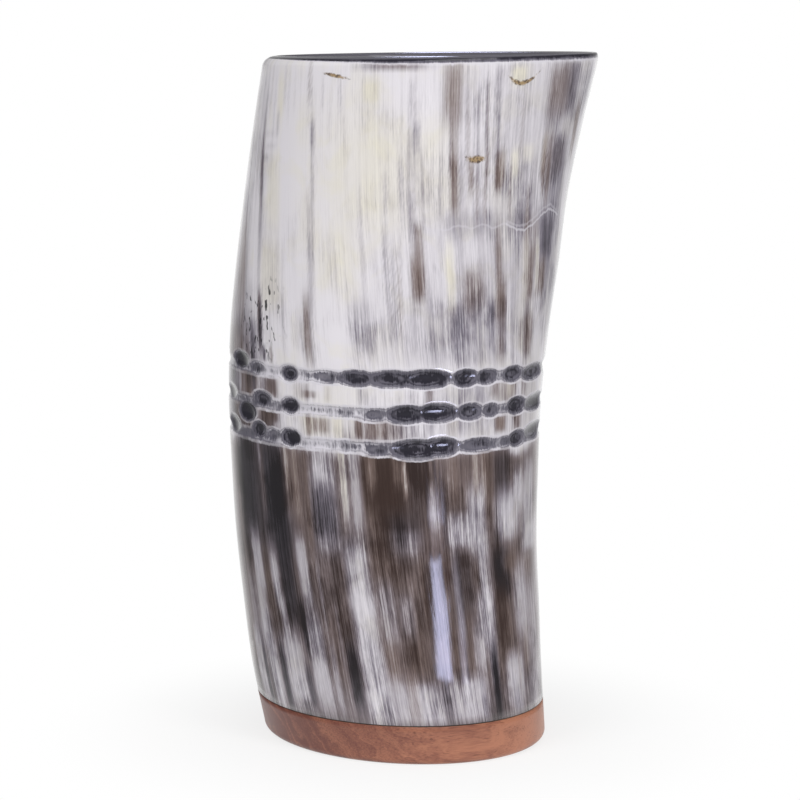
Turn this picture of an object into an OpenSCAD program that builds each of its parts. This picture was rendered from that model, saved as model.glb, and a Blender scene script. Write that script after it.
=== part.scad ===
// Drinking cup made from a length of cattle horn on a wooden foot.
// The cup stands on the plane z = 0, its front faces -Y and its mouth opens upwards.
// The origin is the middle of the foot's underside.

/* [Mouth and height] */
// Height of the lip above the table
cup_h = 165; // [120:1:210]
// Longest width across the oval mouth
mouth_long = 86; // [66:0.5:106]
// Shortest width across the oval mouth
mouth_short = 74.5; // [58:0.5:94]
// Turn of the oval's long axis away from left and right, in degrees
oval_turn = 50; // [0:5:90]
// Height of the lip's right side above its left side
mouth_rise = 1; // [0:0.1:3]

/* [Horn wall] */
// Thickness of the wall just under the lip
wall_mouth = 3.6; // [2.4:0.1:5]
// Thickness of the wall where it stands on the foot
wall_foot = 4.8; // [3.4:0.1:7]
// Height of the lip's rounding
lip_round_h = 2.4; // [0.8:0.1:4]

/* [Carved grooves] */
// Height of the lowest groove above the table
groove_h = 76; // [60:0.5:90]
// Height from one groove to the next
groove_pitch = 7.9; // [6.5:0.1:9.5]
// Deepest bite of the round file
gouge_depth = 1.2; // [0.8:0.1:1.8]
// Depth of the shallow trace that joins the bites
trace_depth = 0.3; // [0.1:0.1:0.7]
// Radius of the round file
file_r = 3; // [2:0.1:4]

/* [Wooden foot] */
// Height of the wood that shows under the horn
foot_h = 9.5; // [6:0.5:14]
// Radius of the foot's lower edge
foot_edge_r = 1.8; // [0.6:0.1:3]
// Height of the spigot that stands up inside the horn
spigot_h = 8; // [5:0.5:14]

/* [Glue and sealing resin] */
// Thickness of the glue under the horn's end
glue_line_h = 0.3; // [0.2:0.05:0.6]
// Thickness of the glue between the spigot and the horn
glue_gap = 0.2; // [0.1:0.05:0.5]
// Depth by which the glue line lies behind the outer surface
glue_recess = 0.2; // [0.1:0.05:0.5]
// Depth of the resin over the middle of the spigot
resin_depth = 1.2; // [0.6:0.1:3]
// Height by which the resin climbs the wall
resin_climb = 2.4; // [1:0.1:5]
// Reach of the resin's curved edge from the wall
resin_reach = 5; // [2:0.5:9]

/* [Hidden] */

// Facets round the oval, and the evenly spaced turns that give them
facet_count = 104;
facet_turns = [for (i = [0 : facet_count - 1]) i * 360 / facet_count];

// The horn's size at evenly spaced heights, as shares of its size at the mouth
size_shares = [0.866, 0.895, 0.911, 0.923, 0.938, 0.953, 0.967, 0.976, 0.976, 0.990, 1.008];
// Its lean to the right and its drift to the back at the same heights, as shares of mouth_long
lean_shares = [0.006, -0.019, -0.035, -0.049, -0.053, -0.053, -0.041, -0.018, 0.006, 0.039, 0.077];
drift_shares = [0, -0.004, -0.007, -0.009, -0.009, -0.007, -0.004, 0, 0.003, 0.006, 0.008];

// Place of the lip's crown across the wall, and how much further in it lies on the left than that,
// both as shares of the wall
crown_share = 0.54;
crown_swing_share = 0.26;

// Bites of the file in each groove, from the lowest. Each has its turn from the front and half its
// spread in degrees, its depth as a share of gouge_depth, and its rise above the groove's own
// height as a share of groove_pitch.
gouge_shares = [
    [[-95, 9, 0.7, 0.1], [-76, 8, 0.75, 0.15], [-55, 5, 0.75, 0.18], [-47, 5, 0.45, 0.1],
     [-39, 5.5, 0.85, 0.1], [-17, 6, 0.3, 0], [-6, 7, 0.4, -0.06], [8, 11, 1, -0.06],
     [17, 8, 0.9, 0], [32, 10, 0.5, 0], [45, 6, 0.35, 0], [53, 7, 0.7, 0.03], [68, 12, 0.8, 0.12],
     [88, 10, 0.7, 0.1], [107, 11, 0.95, 0.08], [127, 9, 0.6, 0.05], [144, 11, 0.9, 0],
     [163, 9, 0.65, 0], [181, 12, 1, -0.04], [202, 9, 0.6, 0], [219, 10, 0.9, 0.04],
     [237, 9, 0.65, 0.06], [252, 9, 0.85, 0.08]],
    [[-96, 10, 0.8, 0.05], [-79, 8, 0.6, 0.1], [-63, 7, 0.95, -0.34], [-53, 6, 0.65, 0.13],
     [-39, 5, 0.75, 0.05], [-22, 8, 0.2, 0], [-7, 7, 0.4, -0.05], [4, 9, 0.8, -0.03],
     [15, 9, 0.9, 0], [28, 6, 0.7, 0], [37, 5, 0.5, 0], [51, 7, 0.75, 0.03], [67, 12, 0.8, 0],
     [88, 10, 0.7, 0], [106, 9, 0.9, 0.03], [124, 10, 0.65, 0.05], [142, 11, 0.85, 0.05],
     [162, 9, 0.7, 0], [179, 9, 0.6, 0], [197, 12, 1, 0], [217, 9, 0.65, 0.04],
     [234, 10, 0.9, 0.05], [250, 8, 0.6, 0.05]],
    [[-94, 9, 0.7, 0.1], [-69, 8, 0.8, 0.17], [-56, 6, 0.45, 0.03], [-40, 5, 0.75, 0],
     [-25, 8, 0.4, 0], [-14, 8, 0.65, 0], [-2, 10, 0.75, 0], [10, 11, 0.85, 0], [25, 6, 0.75, 0],
     [34, 6, 0.6, 0], [47, 7, 0.65, 0], [62, 11, 0.7, -0.06], [82, 10, 0.8, -0.05],
     [100, 10, 0.65, 0], [118, 10, 0.95, 0.03], [137, 9, 0.6, 0.05], [155, 11, 0.85, 0.03],
     [175, 10, 0.7, 0], [194, 9, 0.6, 0], [211, 11, 0.95, 0.03], [231, 9, 0.65, 0.08],
     [248, 10, 0.85, 0.1]]
];
groove_count = len(gouge_shares);

// The carved part of the outer surface
band_low = groove_h - groove_pitch * 2 / 3;
band_high = groove_h + groove_pitch * (groove_count - 1 / 3);

// Heights at which the pieces meet
horn_start = foot_h + glue_line_h;
spigot_top = foot_h + spigot_h;
resin_top = spigot_top + resin_depth;
resin_edge = resin_top + resin_climb;
lip_start = cup_h - lip_round_h;

// Counts of the rows of points in each part of the surfaces
low_rows = 8;
band_rows = 22;
high_rows = 8;
inner_rows = 8;
lip_steps = 6;
edge_steps = 4;
resin_steps = 4;

// Blend from one value to another
function between(from, to, share) = from + (to - from) * share;

// Smooth curve through evenly spaced shares, read at a place from 0 to 1
function share_at(shares, place) =
    let (last = len(shares) - 1,
         step = max(0, min(last - 1, floor(place * last))),
         part = place * last - step,
         here = shares[step],
         next = shares[step + 1],
         before = step > 0 ? shares[step - 1] : 2 * here - next,
         after = step < last - 1 ? shares[step + 2] : 2 * next - here)
    here + part * (next - before) / 2
         + pow(part, 2) * (2 * before - 5 * here + 4 * next - after) / 2
         + pow(part, 3) * (3 * here - before - 3 * next + after) / 2;

// Thickness of the horn's wall at a height
function wall_at(z) = between(wall_foot, wall_mouth, max(0, z - horn_start) / (lip_start - horn_start));

// Point of the horn's outer surface at a turn from the front and a height, moved inwards by inset
function skin_point(turn, z, inset = 0) =
    let (place = z / cup_h,
         size_share = share_at(size_shares, place),
         along = (size_share * mouth_long / 2 - inset) * sin(turn + oval_turn),
         across = (size_share * mouth_short / 2 - inset) * -cos(turn + oval_turn))
    [mouth_long * share_at(lean_shares, place) + along * cos(oval_turn) + across * sin(oval_turn),
     mouth_long * share_at(drift_shares, place) - along * sin(oval_turn) + across * cos(oval_turn),
     z + mouth_rise / 2 * sin(turn) * pow(place, 6)];

// Closed row of points round the cup, and the same row laid level at its height
function skin_row(z, inset = 0) = [for (turn = facet_turns) skin_point(turn, z, inset)];
function level_row(z, inset = 0) = [for (point = skin_row(z, inset)) [point[0], point[1], z]];

// Smallest turn between two directions, in degrees
function turn_between(a, b) = abs((a - b + 900) % 360 - 180);

// Depth that one bite of the file cuts at a turn and a height above its groove
function bite_depth(bite, turn, rise) =
    gouge_depth * bite[2] * (1 - pow(turn_between(turn, bite[0]) / bite[1], 2))
    - pow(rise - bite[3] * groove_pitch, 2) / (2 * file_r);

// Depth of the carving at a turn and a height
function carve_depth(turn, z) =
    max(0, max([for (groove = [0 : groove_count - 1])
                let (rise = z - groove_h - groove * groove_pitch)
                max(trace_depth - pow(rise, 2) / (2 * file_r),
                    max([for (bite = gouge_shares[groove]) bite_depth(bite, turn, rise)]))]));

function carved_row(z) = [for (turn = facet_turns) skin_point(turn, z, carve_depth(turn, z))];

// Rows of the horn's outside, from its lower end up to the lip
function outer_rows() = concat(
    [level_row(horn_start)],
    [for (i = [1 : low_rows - 1]) skin_row(between(horn_start, band_low, i / low_rows))],
    [for (i = [0 : band_rows]) carved_row(between(band_low, band_high, i / band_rows))],
    [for (i = [1 : high_rows - 1]) skin_row(between(band_high, lip_start, i / high_rows))]);

// Row over the rounded lip at an angle that runs from 0 on its outside to 180 on its inside.
// The crown lies further in on the left, so the outer edge is rounder there.
function lip_row(angle) = [
    for (turn = facet_turns)
    let (crown = wall_mouth * (crown_share - crown_swing_share * sin(turn)),
         reach = angle < 90 ? crown : wall_mouth - crown)
    skin_point(turn, lip_start + lip_round_h * sin(angle), crown - reach * cos(angle))
];
function lip_rows() = [for (i = [0 : lip_steps]) lip_row(i * 180 / lip_steps)];

// Rows of the horn's inside, from the lip down to its lower end
function inner_row(z) = level_row(z, wall_at(z));
function inside_rows() = concat(
    [for (i = [1 : inner_rows - 1]) inner_row(between(lip_start, resin_edge, i / inner_rows))],
    [inner_row(resin_edge), inner_row(spigot_top), inner_row(horn_start)]);

// Inset of the spigot's side, which leaves room for the glue inside the horn
function spigot_inset(z) = wall_at(z) + glue_gap;

// Two triangles for each facet between one row of points and another
function facets_between(lower, upper) = [
    for (i = [0 : facet_count - 1])
    let (a = lower * facet_count + i,
         b = lower * facet_count + (i + 1) % facet_count,
         c = upper * facet_count + (i + 1) % facet_count,
         d = upper * facet_count + i)
    each [[a, c, b], [a, d, c]]
];

// Solid ring whose rows go up its outer side, over its top, down its inner side and back
module ring_of_rows(rows) {
    polyhedron(points = [for (row = rows) each row],
               faces = [for (k = [0 : len(rows) - 1]) each facets_between(k, (k + 1) % len(rows))],
               convexity = 6);
}

// Solid whose rows go from a level underside, up its outer side, to a level top
module stack_of_rows(rows) {
    last = len(rows) - 1;
    polyhedron(points = [for (row = rows) each row],
               faces = concat([for (k = [0 : last - 1]) each facets_between(k, k + 1)],
                              [[for (i = [0 : facet_count - 1]) i]],
                              [[for (i = [facet_count - 1 : -1 : 0]) last * facet_count + i]]),
               convexity = 6);
}

// Length of horn: a leaning oval tube with three rings of file cuts
module horn_body() {
    color([0.80, 0.78, 0.78])
    ring_of_rows(concat(outer_rows(), lip_rows(), inside_rows()));
}

// Row of the foot's rounded lower edge, at an angle that runs from 0 underneath to 90 at its side
function edge_row(angle) = [
    for (point = skin_row(foot_edge_r, foot_edge_r * (1 - sin(angle))))
    [point[0], point[1], foot_edge_r * (1 - cos(angle))]
];

// Wooden foot: a rim that lies flush with the horn and a spigot that stands up inside it
module wood_foot() {
    color([0.56, 0.31, 0.21])
    stack_of_rows(concat(
        [for (i = [0 : edge_steps]) edge_row(i * 90 / edge_steps)],
        [level_row(between(foot_edge_r, foot_h, 1 / 2)),
         level_row(foot_h),
         level_row(foot_h, spigot_inset(horn_start)),
         level_row(spigot_top, spigot_inset(spigot_top))]));
}

// Film of glue: a flat ring under the horn's end and a sleeve round the spigot
module glue_joint() {
    color([0.17, 0.13, 0.11])
    ring_of_rows([
        level_row(foot_h, glue_recess),
        level_row(horn_start, glue_recess),
        inner_row(horn_start),
        inner_row(spigot_top),
        level_row(spigot_top, spigot_inset(spigot_top)),
        level_row(foot_h, spigot_inset(horn_start))
    ]);
}

// Resin that seals the cup's floor and curves up where it meets the wall
module floor_resin() {
    color([0.76, 0.62, 0.42])
    stack_of_rows(concat(
        [inner_row(spigot_top), inner_row(resin_edge)],
        [for (i = [1 : resin_steps])
         let (angle = i * 90 / resin_steps)
         level_row(resin_edge - resin_climb * sin(angle),
                   wall_at(resin_edge) + resin_reach * (1 - cos(angle)))]));
}

horn_body();
wood_foot();
glue_joint();
floor_resin();
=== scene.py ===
"""Looks of a horn drinking cup on a wooden foot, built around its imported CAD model.

The cup's four pieces keep their CAD places. The horn, the wood and the resin get finer meshes from the
same sizes and formulas, and each finish is made of shader nodes that read where a point lies on the horn.
"""

import logging
import math
from collections.abc import Sequence
from dataclasses import dataclass, field
from enum import Enum

import bpy
import numpy as np
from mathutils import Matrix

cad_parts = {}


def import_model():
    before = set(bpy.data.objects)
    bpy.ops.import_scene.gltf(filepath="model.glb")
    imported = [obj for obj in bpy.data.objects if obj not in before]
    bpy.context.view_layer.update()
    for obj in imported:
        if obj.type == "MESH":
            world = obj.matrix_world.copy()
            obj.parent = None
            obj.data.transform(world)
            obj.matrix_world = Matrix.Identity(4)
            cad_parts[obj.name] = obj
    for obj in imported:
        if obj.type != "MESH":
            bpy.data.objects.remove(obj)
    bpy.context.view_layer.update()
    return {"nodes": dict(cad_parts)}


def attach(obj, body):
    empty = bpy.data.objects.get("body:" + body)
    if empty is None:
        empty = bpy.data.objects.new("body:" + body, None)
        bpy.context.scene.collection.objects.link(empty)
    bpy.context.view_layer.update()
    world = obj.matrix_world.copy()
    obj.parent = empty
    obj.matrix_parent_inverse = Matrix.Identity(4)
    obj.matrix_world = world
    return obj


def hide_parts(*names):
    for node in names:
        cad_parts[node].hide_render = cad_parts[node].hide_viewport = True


MM = 0.001
BODY = "root"
# Power that gives a soft patch a flat middle and steep edges
STEEP = 4

log = logging.getLogger("horn_cup")

Triple = tuple[float, float, float]
Socket = bpy.types.NodeSocket
Sockets = Sequence[Socket]
Value = float | Socket
Finished = bpy.types.Material | bpy.types.World


class Tone(Enum):
    """Tones that horn shows, as darkness, warmth and creaminess from 0 to 1."""

    WHITE = (-0.03, 0.3, 0.0)
    PALE = (0.06, 0.2, 0.0)
    CREAM = (0.08, 0.5, 1.0)
    FROST = (0.27, 0.1, 0.0)
    TAN = (0.34, 1.0, 0.6)
    GREY = (0.46, 0.0, 0.0)
    BROWN = (0.60, 1.0, 0.2)
    UMBER = (0.84, 1.0, 0.0)
    CHARCOAL = (0.97, 0.1, 0.0)
    BARK = (1.06, 1.0, 0.0)


WHITE, PALE, CREAM, FROST, TAN, GREY, BROWN, UMBER, CHARCOAL, BARK = Tone


def turn_between(a: np.ndarray, b: float | np.ndarray) -> np.ndarray:
    """Signed turn from b to a, in degrees from -180 to 180."""
    return (a - b + 180) % 360 - 180


def fall(value: np.ndarray, edge: float | np.ndarray, sharpness: float) -> np.ndarray:
    """Smooth fall from 1 below an edge to 0 above it."""
    return (1 - np.tanh(sharpness / 2 * (value - edge))) / 2


@dataclass(frozen=True)
class Patch:
    """A soft patch of the horn's skin.

    Args:
        turn: Degrees from the front at its middle.
        height: Millimetres above the table there.
        half_turn: Half its width, in degrees.
        half_height: Half its height, in millimetres.
    """

    turn: float
    height: float
    half_turn: float
    half_height: float

    def weight(self, turns: np.ndarray, heights: np.ndarray, power: int = 2) -> np.ndarray:
        """Weight of the patch, from 1 at its middle to 0 outside.

        Args:
            turns: Degrees from the front.
            heights: Millimetres above the table.
            power: How flat its middle is and how steep its edge.

        Returns:
            The weight at each point.
        """
        across = turn_between(turns, self.turn) / self.half_turn
        along = (heights - self.height) / self.half_height
        return np.exp(-across ** power - along ** power)


@dataclass(frozen=True)
class Stroke(Patch):
    """One soft patch of tone, longer along the fibres than across them.

    Args:
        tone: Tone that it lays on.
        strength: How much of the tone it lays on, from 0 to 1.
    """

    tone: Tone
    strength: float


@dataclass(frozen=True)
class Blemish(Patch):
    """A small ochre flaw in the horn's skin.

    Args:
        slope: Millimetres by which it climbs with each degree.
        bend: Millimetres by which its ends lie above its middle.
    """

    slope: float
    bend: float


@dataclass(frozen=True)
class GrowthLine:
    """A thin wavy line that the horn's growth left.

    Args:
        turn: Degrees from the front at its middle.
        height: Millimetres above the table there.
        half_turn: Half the turn that it spans.
        swing: Height of its waves in millimetres.
        slope: Millimetres by which it climbs with each degree.
        waves: Waves in a full turn.
    """

    turn: float
    height: float
    half_turn: float
    swing: float
    slope: float
    waves: float


# Bites of the file in each groove, from the lowest: turn from the front and half spread in degrees,
# depth as a share of the deepest bite, and rise as a share of the pitch. They repeat the CAD model's.
GOUGE_SHARES = (
    ((-95, 9, 0.7, 0.1), (-76, 8, 0.75, 0.15), (-55, 5, 0.75, 0.18), (-47, 5, 0.45, 0.1),
     (-39, 5.5, 0.85, 0.1), (-17, 6, 0.3, 0), (-6, 7, 0.4, -0.06), (8, 11, 1, -0.06),
     (17, 8, 0.9, 0), (32, 10, 0.5, 0), (45, 6, 0.35, 0), (53, 7, 0.7, 0.03), (68, 12, 0.8, 0.12),
     (88, 10, 0.7, 0.1), (107, 11, 0.95, 0.08), (127, 9, 0.6, 0.05), (144, 11, 0.9, 0),
     (163, 9, 0.65, 0), (181, 12, 1, -0.04), (202, 9, 0.6, 0), (219, 10, 0.9, 0.04),
     (237, 9, 0.65, 0.06), (252, 9, 0.85, 0.08)),
    ((-96, 10, 0.8, 0.05), (-79, 8, 0.6, 0.1), (-63, 7, 0.95, -0.34), (-53, 6, 0.65, 0.13),
     (-39, 5, 0.75, 0.05), (-22, 8, 0.2, 0), (-7, 7, 0.4, -0.05), (4, 9, 0.8, -0.03),
     (15, 9, 0.9, 0), (28, 6, 0.7, 0), (37, 5, 0.5, 0), (51, 7, 0.75, 0.03), (67, 12, 0.8, 0),
     (88, 10, 0.7, 0), (106, 9, 0.9, 0.03), (124, 10, 0.65, 0.05), (142, 11, 0.85, 0.05),
     (162, 9, 0.7, 0), (179, 9, 0.6, 0), (197, 12, 1, 0), (217, 9, 0.65, 0.04),
     (234, 10, 0.9, 0.05), (250, 8, 0.6, 0.05)),
    ((-94, 9, 0.7, 0.1), (-69, 8, 0.8, 0.17), (-56, 6, 0.45, 0.03), (-40, 5, 0.75, 0),
     (-25, 8, 0.4, 0), (-14, 8, 0.65, 0), (-2, 10, 0.75, 0), (10, 11, 0.85, 0), (25, 6, 0.75, 0),
     (34, 6, 0.6, 0), (47, 7, 0.65, 0), (62, 11, 0.7, -0.06), (82, 10, 0.8, -0.05),
     (100, 10, 0.65, 0), (118, 10, 0.95, 0.03), (137, 9, 0.6, 0.05), (155, 11, 0.85, 0.03),
     (175, 10, 0.7, 0), (194, 9, 0.6, 0), (211, 11, 0.95, 0.03), (231, 9, 0.65, 0.08),
     (248, 10, 0.85, 0.1)),
)


def strokes(*rows: tuple[float, float, float, float, Tone, float]) -> tuple[Stroke, ...]:
    """Strokes from rows of turn, height, half turn, half height, tone and strength."""
    return tuple(Stroke(*row) for row in rows)


# Strokes listed one by one, nearly all on the front. A later one covers those before it.
PLACED_STROKES = strokes(
    # Creamy and white washes of the upper half, with one painted highlight
    (-50, 148, 20, 24, WHITE, 0.7), (2, 118, 18, 22, FROST, 0.35), (-30, 140, 16, 14, CREAM, 0.45),
    (-12, 138, 9, 12, CREAM, 0.6), (-57, 133, 4, 8, CREAM, 0.6), (-54, 115, 6, 7, CREAM, 0.6),
    (-44, 147, 4, 3, CREAM, 0.5), (-22, 157, 3, 2.5, CREAM, 0.8), (-28, 122, 9, 5, CREAM, 0.5),
    (-24, 115, 8, 6, CREAM, 0.4), (4, 140, 6, 10, CREAM, 0.6), (43, 143, 2, 4, CREAM, 0.7),
    # The white stroke at turn -25, height 104 is a painted highlight: a soft lamp reflection laid on as
    # colour
    (-61, 155, 2, 6, CREAM, 0.6), (29, 138, 3, 5, CREAM, 0.5), (-25, 104, 4, 8, WHITE, 1),
    (33, 152, 8, 7, WHITE, 0.8), (-38, 138, 8, 20, WHITE, 0.6), (45, 132, 32, 36, FROST, 0.8),
    (14, 122, 16, 30, FROST, 0.3), (20, 104, 27, 9, FROST, 0.6), (27, 160.5, 3, 2, CREAM, 1),
    # Lines and shades of the upper half, nearly all on the left. The broad grey along the left edge, at
    # turn -78, height 124, is partly the horn's own grey and partly painted shade of that edge.
    (-78, 124, 7, 30, GREY, 0.6), (-77, 108, 9, 13, GREY, 0.8), (-79, 106, 9, 15, UMBER, 0.4),
    (-75, 116, 4, 10, BROWN, 0.6), (-64, 146.5, 4, 0.9, GREY, 0.25), (-62, 143.6, 4, 0.8, GREY, 0.3),
    (-66, 141, 3, 0.8, GREY, 0.25), (-60, 149, 1.2, 3, GREY, 0.5), (-17, 162.6, 14, 0.9, GREY, 0.7),
    (-15, 162.8, 8, 0.7, BROWN, 0.5), (-66, 136, 1.4, 12, BROWN, 0.45), (-69, 146, 1.2, 10, GREY, 0.5),
    (-73, 150, 2, 12, GREY, 0.4), (-63, 128, 1.3, 10, GREY, 0.6), (-61, 118, 1, 10, GREY, 0.6),
    (-78, 150, 5, 10, GREY, 0.35), (76, 134, 5, 14, FROST, 0.4), (-59, 158, 0.8, 5, GREY, 0.4),
    (-66, 105, 7, 7, GREY, 0.5), (-71, 155, 0.7, 7, GREY, 0.37), (-68, 157, 0.7, 6, BROWN, 0.28),
    (-64, 153, 0.7, 8, GREY, 0.34), (-56, 156, 0.7, 6, GREY, 0.3), (-53, 157, 0.7, 5, GREY, 0.23),
    (-40, 157, 0.7, 4, GREY, 0.3), (-46.5, 160, 0.7, 5, BROWN, 0.46), (-44.5, 153, 0.7, 5, GREY, 0.34),
    (-41.5, 147, 1.2, 3, GREY, 0.6), (-39.5, 140, 0.8, 10, GREY, 0.3), (-36.5, 124, 1.4, 9, GREY, 0.45),
    (-34, 114, 1.2, 8, GREY, 0.5), (-33, 102, 2, 8, BROWN, 0.75), (-31, 100, 0.7, 10, GREY, 0.56),
    (-33, 156, 0.7, 4, GREY, 0.34), (-44, 104, 1, 8, GREY, 0.35), (-50, 100, 1, 6, GREY, 0.4),
    (-56.5, 103, 1.1, 6, UMBER, 0.85),
    # Lines and shades left of the middle
    (-7, 152, 1, 8, GREY, 0.35), (-4, 147, 1.3, 3, GREY, 0.6), (-17, 122, 0.8, 12, GREY, 0.35),
    (-13.5, 104, 4.5, 6, GREY, 0.6), (-7, 115, 0.8, 12, GREY, 0.6), (-4, 112, 0.8, 10, GREY, 0.6),
    (-1.5, 110, 0.7, 8, BROWN, 0.5), (-10, 130, 0.7, 8, GREY, 0.32), (-6, 135, 0.7, 8, GREY, 0.4),
    # Brown and grey streaks on the right of the upper half
    (5, 157, 3.5, 7, BROWN, 0.75), (11, 156, 2, 7, GREY, 0.4), (9, 145, 1.5, 7, BROWN, 0.6),
    (11.5, 136, 1.6, 7, BROWN, 0.8), (14, 137, 0.8, 6, GREY, 0.6), (17, 138, 0.9, 4, BROWN, 0.8),
    (19, 140, 0.7, 5, GREY, 0.5), (22.5, 140, 0.7, 4, BROWN, 0.5), (27, 139, 1.7, 4.5, BROWN, 0.95),
    (30, 137, 1, 5, GREY, 0.5), (22, 154, 0.8, 8, GREY, 0.4), (26, 153, 0.7, 7, GREY, 0.37),
    (17, 155, 0.7, 8, GREY, 0.35), (14, 126, 3, 3, GREY, 0.5), (22, 127, 2, 3, GREY, 0.6),
    (27, 127, 1.6, 3, GREY, 0.5), (8, 128, 1.2, 8, GREY, 0.35), (2, 123, 1.8, 4, BROWN, 0.7),
    (3.5, 115, 2.6, 5, BROWN, 0.9), (-1, 128, 1, 6, GREY, 0.5), (18, 118, 1.5, 7, GREY, 0.5),
    (24, 112, 4.5, 5, BROWN, 0.6), (31, 121, 1.3, 6, GREY, 0.7), (33.5, 115, 1.5, 7, BROWN, 0.7),
    (36, 111, 2.2, 7, BROWN, 0.75), (40, 121, 1.6, 4, GREY, 0.7), (42, 110, 1.6, 9, GREY, 0.5),
    (38, 101, 2.2, 6, BROWN, 0.7), (28, 103, 2, 6, GREY, 0.5), (20, 102, 2, 6, GREY, 0.55),
    (10, 104, 1.5, 8, GREY, 0.4), (4, 103, 1.5, 5, GREY, 0.4), (33, 104, 1.2, 5, GREY, 0.5),
    (45.5, 117, 1.5, 7, TAN, 0.7), (49.5, 115, 2.2, 6, BROWN, 0.9), (53.5, 101, 3.2, 5, BROWN, 0.8),
    (49, 101, 1.5, 4, TAN, 0.5), (46.5, 157, 4.6, 5.5, UMBER, 0.4), (54, 157.5, 5, 6, CHARCOAL, 0.5),
    (47, 151, 5, 3, GREY, 0.7), (47, 157, 6.5, 6, BROWN, 0.5), (46.5, 142, 1.4, 5, BROWN, 0.8),
    (49.5, 142, 1.3, 5, BROWN, 0.7), (52, 140, 2, 6, BROWN, 0.7), (57, 138, 6.5, 8, GREY, 1),
    (57, 138, 5, 7, UMBER, 0.3), (57, 122, 8, 9, GREY, 1), (57, 124, 5, 5, CHARCOAL, 0.45),
    (57, 114, 4, 4, BROWN, 0.8), (60, 132, 5, 5, GREY, 0.9), (78, 130, 8, 34, GREY, 0.12),
    (72, 110, 5, 9, GREY, 0.4), (50, 122, 2, 6, BROWN, 0.5), (66, 148, 2.5, 6, BROWN, 0.8),
    (70, 158, 6, 5, GREY, 0.5), (66, 125, 4, 12, GREY, 0.4), (75, 135, 5, 24, GREY, 0.2),
    (72, 105, 6, 8, GREY, 0.35), (61, 113, 1.5, 6, GREY, 0.5),
    # Washes of the back
    (180, 132, 85, 40, FROST, 0.4), (-120, 110, 25, 30, FROST, 0.3),
    # Washes and fine streaks round the growth lines
    (34, 119, 13, 8, GREY, 0.12), (26, 127.5, 14, 2, GREY, 0.25), (12, 127.5, 2, 2.5, GREY, 0.4),
    (17.5, 127.5, 1.4, 3, GREY, 0.45), (24, 128, 2.4, 2.6, GREY, 0.5), (39.5, 128, 2.6, 3, GREY, 0.55),
    (45, 125, 2.4, 4, BROWN, 0.4), (31.5, 123, 1.5, 4.5, BROWN, 0.5), (46.5, 143, 1.3, 4, TAN, 0.8),
    (48.6, 138, 0.8, 4.5, BROWN, 0.7), (51.5, 137, 1.2, 6, BROWN, 0.6), (59, 133, 4, 5, GREY, 0.6),
    (28.5, 140, 1.2, 3.5, TAN, 0.7), (33, 141, 2, 3, CREAM, 0.8), (38, 143, 3, 2, CREAM, 0.5),
    (14.8, 115, 1.6, 8, CREAM, 0.7), (53, 117, 1.2, 6, CREAM, 0.6), (47, 116, 1, 7, TAN, 0.6),
    (34.5, 104.5, 4.5, 4, GREY, 0.5), (36, 107.5, 2.4, 3, BROWN, 0.4), (22, 103, 4, 4, GREY, 0.35),
    (36, 117, 2, 3, FROST, 0.6), (26, 121.5, 3, 1.6, FROST, 0.6), (13, 148, 0.7, 9, BROWN, 0.38),
    (15.6, 150, 0.7, 9, GREY, 0.3), (19, 151, 0.7, 9, BROWN, 0.34), (24, 147, 0.7, 7, GREY, 0.3),
    (30, 152, 0.7, 6, GREY, 0.34), (33, 149, 0.7, 6, BROWN, 0.3), (20.5, 133, 0.7, 6, BROWN, 0.42),
    (23.5, 133, 0.7, 6, BROWN, 0.46), (33.5, 134, 0.7, 6, BROWN, 0.42), (37.5, 133, 0.7, 5, GREY, 0.46),
    (43, 130, 0.7, 6, BROWN, 0.46),
    # Ridges between the grooves
    (-74, 90, 16, 12, GREY, 0.5), (-66, 94, 7, 5, BROWN, 0.4), (-79, 97, 8, 4, UMBER, 0.5),
    (-78, 88.5, 9, 4, CHARCOAL, 0.6), (-78, 81, 9, 4, CHARCOAL, 0.6), (-62, 92, 1.4, 9, UMBER, 0.8),
    (-66.5, 90, 1, 8, UMBER, 0.6), (-70, 106, 2.4, 10, BROWN, 0.4), (-60, 98, 7, 5, GREY, 0.6),
    (-59, 88.5, 7, 3.5, UMBER, 0.45), (-59, 81, 7, 3, UMBER, 0.4), (-58.5, 93, 0.8, 9, CHARCOAL, 0.7),
    (32, 84, 34, 6, FROST, 0.7), (-4, 80.5, 8, 2.5, BROWN, 0.5), (-29, 80.5, 5, 2.5, TAN, 0.7),
    (-34, 88, 4, 2, BROWN, 0.4), (12, 88, 1.5, 2.5, BROWN, 0.5), (21, 80.5, 2.5, 2.5, TAN, 0.6),
    (31, 88.5, 2, 2.5, GREY, 0.6), (55, 88.5, 2, 2.5, BROWN, 0.5), (52, 81, 2, 2.5, GREY, 0.6),
    (-12, 88, 1.5, 2.5, GREY, 0.5), (-55.8, 102.5, 1, 5.5, CHARCOAL, 0.8),
    (-52.2, 95.6, 0.9, 1.6, CHARCOAL, 0.7), (-48.6, 95.6, 0.8, 2, BROWN, 0.7),
    (-61, 89, 1.8, 2.5, CHARCOAL, 0.7), (-49, 88.4, 3.4, 1.8, CHARCOAL, 0.5),
    (-48, 81.8, 4, 1.8, UMBER, 0.8), (28, 88.5, 12, 3, GREY, 0.35), (43, 88.5, 4, 3, BROWN, 0.5),
    (52, 81, 3, 2.6, BROWN, 0.7), (16, 81, 18, 3, GREY, 0.3), (20, 100, 32, 5, GREY, 0.25),
    (62, 84, 8, 8, GREY, 0.35), (-62, 88, 3, 2.5, UMBER, 0.6), (-48, 88, 3.5, 2.5, UMBER, 0.7),
    (-66, 81, 9, 4, UMBER, 0.8), (-50, 80.5, 4, 2.5, UMBER, 0.9), (-31, 80.5, 1.6, 2.5, TAN, 0.8),
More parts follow.
